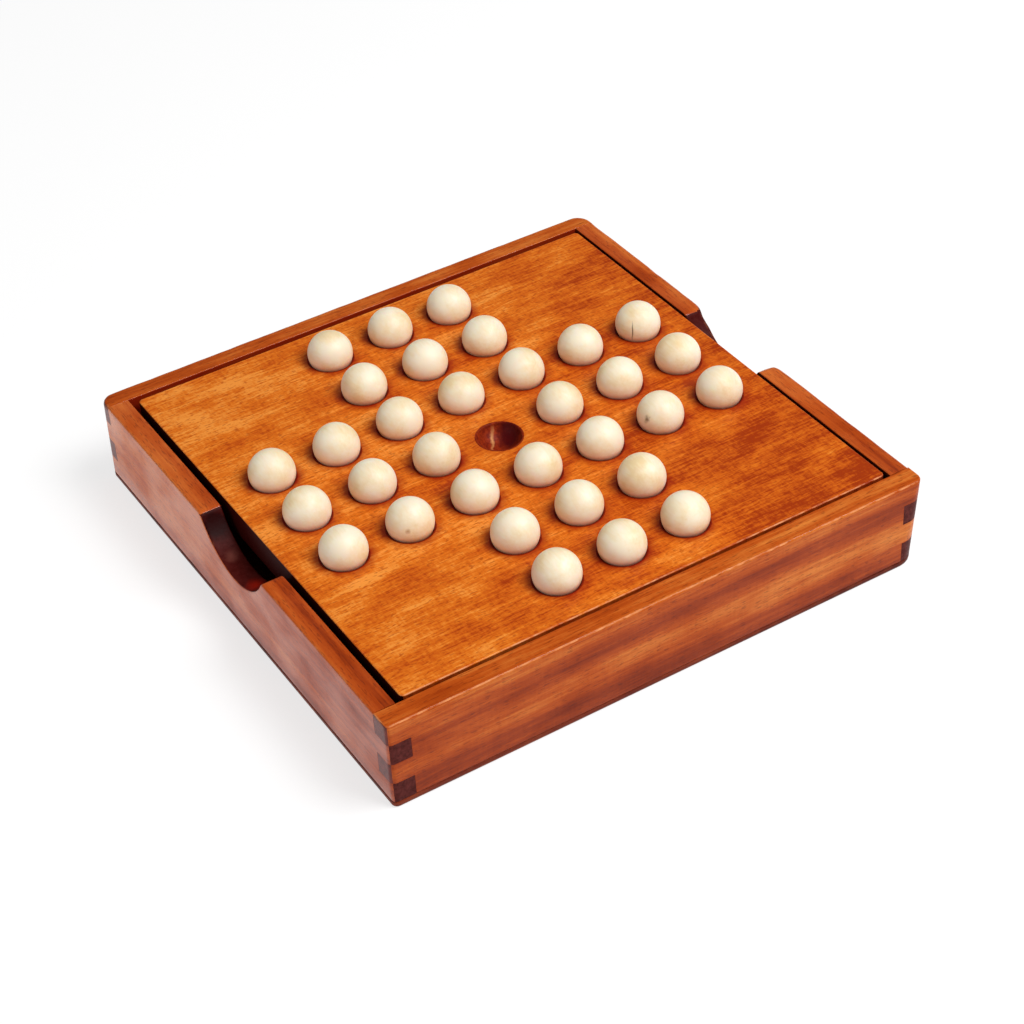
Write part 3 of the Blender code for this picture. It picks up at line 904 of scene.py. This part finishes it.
# The board's ring of stain and painted shadow, its painted shade, and its rubbed arrises with their painted
# highlight. The empty socket, with no ball in it, keeps less of the ring and of the shade; the sides in the
# gap, all but the front, are painted dark as shade; only the front arris is rubbed and highlighted in full.
def paintBoard(bm, half):
    s = boardSettings
    painted = bm.faces.layers.float
    wearAndHighlightLayer, cutLayer, paintedShadeLayer = painted["wear"], painted["cutGrain"], painted["sheltered"]
    stainAndShadowLayer = bm.verts.layers.float["halo"]

    def inEmptySocket(place):
        return (place.xy - boardCentre.xy).length < s["pitch"] / 2

    def atSide(vertex):
        away = vertex.co - boardCentre
        return max(abs(away.x), abs(away.y)) > half - s["cornerRadius"]

    for vertex in bm.verts:
        if inEmptySocket(vertex.co):
            vertex[stainAndShadowLayer] *= s["emptyShare"]
    for face in bm.faces:
        middle = face.calc_center_median()
        normal = face.normal
        face[wearAndHighlightLayer] *= 1.0 if normal.y < -0.3 and normal.z > 0.3 else s["hiddenWearAndHighlight"]
        if inEmptySocket(middle):
            face[paintedShadeLayer] *= s["emptyShare"]
        isSide = abs(normal.z) < 0.5 and middle.z < boardHigh.z - s["arris"] / 2
        if isSide and all(atSide(vertex) for vertex in face.verts):
            front = normal.y < -0.8
            face[cutLayer] = s["frontCut"] if front else 1.0
            face[paintedShadeLayer] = 0.0 if front else 1.0
            face[wearAndHighlightLayer] = 0.0


def makeBoard(material):
    s = boardSettings
    bm = socketField(material)
    bmesh.ops.translate(bm, vec=(boardCentre.x, boardCentre.y, boardHigh.z), verts=bm.verts)
    half = (boardHigh.x - boardLow.x) / 2
    levels = roundedEdge(s["arris"], s["arrisSteps"])
    downwards = [(inset, boardHigh.z - drop) for inset, drop in levels]
    downwards += [(inset, boardLow.z + drop) for inset, drop in reversed(levels)]
    rings = []
    for inset, z in downwards:
        points = roundedSquare(half - inset, [s["cornerRadius"] - inset] * 4, s["cornerSteps"])
        rings.append(addLoop(bm, points, z, boardCentre.xy))
    addMargin(bm, rings[0])
    wearAndHighlightLayer = bm.faces.layers.float["wear"]
    for number, (upper, lower) in enumerate(zip(rings, rings[1:])):
        for face in joinLoops(bm, lower, upper):
            face[wearAndHighlightLayer] = 1.0 if number < s["arrisSteps"] else 0.0
    bm.faces.new(list(reversed(rings[-1])))
    bmesh.ops.recalc_face_normals(bm, faces=bm.faces)
    bm.normal_update()
    paintBoard(bm, half)
    return settleShading(newPiece("playingBoard", bm, material))


ballSettings = {
    "detail": 5,
    "unevenness": 0.00010,
    "lumpSize": 0.006,
    "seed": 11,
}


# Geometry Nodes turn each ball: a fine sphere whose surface is a little uneven, as tumbled wood is.
def turnedBallTree():
    tree, given = newTree("turnedBall", (("Radius", "Float"), ("Detail", "Int"), ("Unevenness", "Float"),
                                         ("Lump Size", "Float"), ("Seed", "Float"), ("Place", "Vector"),
                                         ("Finish", "Material")))
    ball = addNode(tree, "GeometryNodeMeshIcoSphere",
                   links={"Radius": given["Radius"], "Subdivisions": given["Detail"]})
    frequency = addNode(tree, "ShaderNodeMath", {0: 1.0}, {1: given["Lump Size"]}, operation="DIVIDE")
    lumps = addNode(tree, "ShaderNodeTexNoise", {"Detail": 1.0}, {"W": given["Seed"], "Scale": frequency},
                    noise_dimensions="4D")
    inward = addNode(tree, "ShaderNodeMath", {1: 1.0}, {0: lumps}, operation="SUBTRACT")
    depth = addNode(tree, "ShaderNodeMath", links={0: inward, 1: given["Unevenness"]}, operation="MULTIPLY")
    normal = addNode(tree, "GeometryNodeInputNormal")
    offset = addNode(tree, "ShaderNodeVectorMath", links={0: normal, "Scale": depth}, operation="SCALE")
    uneven = addNode(tree, "GeometryNodeSetPosition", links={"Geometry": ball, "Offset": offset})
    smooth = addNode(tree, "GeometryNodeSetShadeSmooth", links={"Geometry": uneven})
    placed = addNode(tree, "GeometryNodeTransform", links={"Geometry": smooth, "Translation": given["Place"]})
    whole = addNode(tree, "GeometryNodeRealizeInstances", links={0: placed})
    return finishTree(tree, whole, given["Finish"])


def makeBalls(finish):
    s = ballSettings
    tree = turnedBallTree()
    for number, node in enumerate(ballNodes):
        low, high = (Vector(corner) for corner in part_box(node))
        material = finish
        if node in ballMarks:
            marks = [markOnBall(ballMarks[node], low, high)]
            material = polishedBoxwood("boxwoodOf_" + node, ballLook, marks)
        piece = newPiece(node + "_turned", bmesh.new(), material)
        turning = piece.modifiers.new("turned ball", "NODES")
        turning.node_group = tree
        giveInputs(turning, {"Radius": (high.z - low.z) / 2, "Detail": s["detail"],
                             "Unevenness": s["unevenness"], "Lump Size": s["lumpSize"],
                             "Seed": float(s["seed"] + number), "Place": tuple((low + high) / 2),
                             "Finish": material})
        finished = evaluatedMesh(piece)
        piece.modifiers.clear()
        piece.data = finished
        fit(piece, node, node)


wallWood = stainedWood("mahoganyStainedWall", wallLook)
sideWood = stainedWood("mahoganyStainedSideWall", sideLook, notchMarks)
boardWood = stainedWood("orangeStainedBoard", boardLook, socketMarks)
baseWood = stainedWood("darkStainedBase", baseLook)
ledgeWood = stainedWood("stainedLedgeStrip", ledgeLook)
boxwood = polishedBoxwood("polishedBoxwoodBall", ballLook)
print("materials ready")

# Seen from inside, each wall has a left and a right corner. The rims at the back and on the right
# have been rubbed rounder than the other two, and so have the shoulders of the right notch.
wallSettings = {
    "back_wall": {"name": "backWall", "turn": 0, "material": wallWood, "rim": 0.0011,
                  "corners": ("backLeft", "backRight")},
    "front_wall": {"name": "frontWall", "turn": math.pi, "material": wallWood, "rim": 0.0005,
                   "corners": ("frontRight", "frontLeft")},
    "left_wall": {"name": "leftWall", "turn": quarterTurn, "material": sideWood, "rim": 0.0005,
                  "corners": ("frontLeft", "backLeft"), "notched": True},
    "right_wall": {"name": "rightWall", "turn": -quarterTurn, "material": sideWood, "rim": 0.0010,
                   "corners": ("backRight", "frontRight"), "notched": True, "rub": 0.0010},
}
for node, settings in wallSettings.items():
    fit(makeWall(**settings), node, "box")
print("four walls jointed")

fit(makeBase(baseWood), "base_panel", "box")
for node in ("front_ledge", "back_ledge"):
    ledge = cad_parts[node]
    if ledge.material_slots:
        ledge.material_slots[0].material = ledgeWood
    else:
        ledge.data.materials.append(ledgeWood)
print("base and ledges in place")

fit(makeBoard(boardWood), "board_panel", "board")
print("board with its sockets in place")

makeBalls(boxwood)
print("balls turned:", len(ballNodes))

studioSettings = {
    "floorSize": 24.0,
    "floorColour": "#9c9c9c",
    "floorRough": 0.9,
    "floorSpecular": 0.1,
    "floorGlow": 0.72,        # the white table is lit from below
    "skyColour": "#ffffff",
    "skyStrength": 0.20,
    "keyPlace": (0.40, -0.45, 0.93),
    "keySize": 0.60,
    "keyPower": 11.7,
    "sidePlace": (-0.95, -0.15, 0.42),
    "sideSize": 0.70,
    "sidePower": 1.82,
    "cameraPlace": (-0.2361, -0.4149, 0.3854),
    "cameraRight": (0.8452925, -0.5321286, -0.0481644),
    "cameraUp": (0.3664397, 0.5117598, 0.7770611),
    "lens": 83.868,
    "sensor": 36.0,
}


def addLight(name, place, size, power):
    lamp = bpy.data.lights.new(name, "AREA")
    lamp.shape = "SQUARE"
    lamp.size = size
    lamp.energy = power
    light = bpy.data.objects.new(name, lamp)
    light.location = place
    light.rotation_euler = (-Vector(place)).to_track_quat("-Z", "Y").to_euler()
    bpy.context.scene.collection.objects.link(light)


def setStudio():
    s = studioSettings
    bm = bmesh.new()
    bmesh.ops.create_grid(bm, x_segments=1, y_segments=1, size=s["floorSize"] / 2)
    material, tree = newMaterial("paleFloor")
    shader = addNode(tree, "ShaderNodeBsdfPrincipled",
                     {"Base Color": toLinear(s["floorColour"]), "Roughness": s["floorRough"],
                      "Specular IOR Level": s["floorSpecular"], "Emission Strength": s["floorGlow"],
                      "Emission Color": toLinear(s["skyColour"])})
    addNode(tree, "ShaderNodeOutputMaterial", links={"Surface": shader})
    floor = newPiece("floor", bm, material)
    world = bpy.data.worlds.new("studio")
    world.use_nodes = True
    background = world.node_tree.nodes["Background"]
    background.inputs["Color"].default_value = toLinear(s["skyColour"])
    background.inputs["Strength"].default_value = s["skyStrength"]
    bpy.context.scene.world = world
    addLight("keyLight", s["keyPlace"], s["keySize"], s["keyPower"])
    addLight("sideLight", s["sidePlace"], s["sideSize"], s["sidePower"])


def setCamera():
    s = studioSettings
    lens = bpy.data.cameras.new("camera")
    lens.lens = s["lens"]
    lens.sensor_width = s["sensor"]
    camera = bpy.data.objects.new("camera", lens)
    right, up = Vector(s["cameraRight"]), Vector(s["cameraUp"])
    axes = Matrix((right, up, right.cross(up))).transposed().to_4x4()
    camera.matrix_world = Matrix.Translation(s["cameraPlace"]) @ axes
    bpy.context.scene.collection.objects.link(camera)
    bpy.context.scene.camera = camera


setStudio()
setCamera()
bpy.context.scene.view_settings.view_transform = "Standard"
print("studio and camera set")
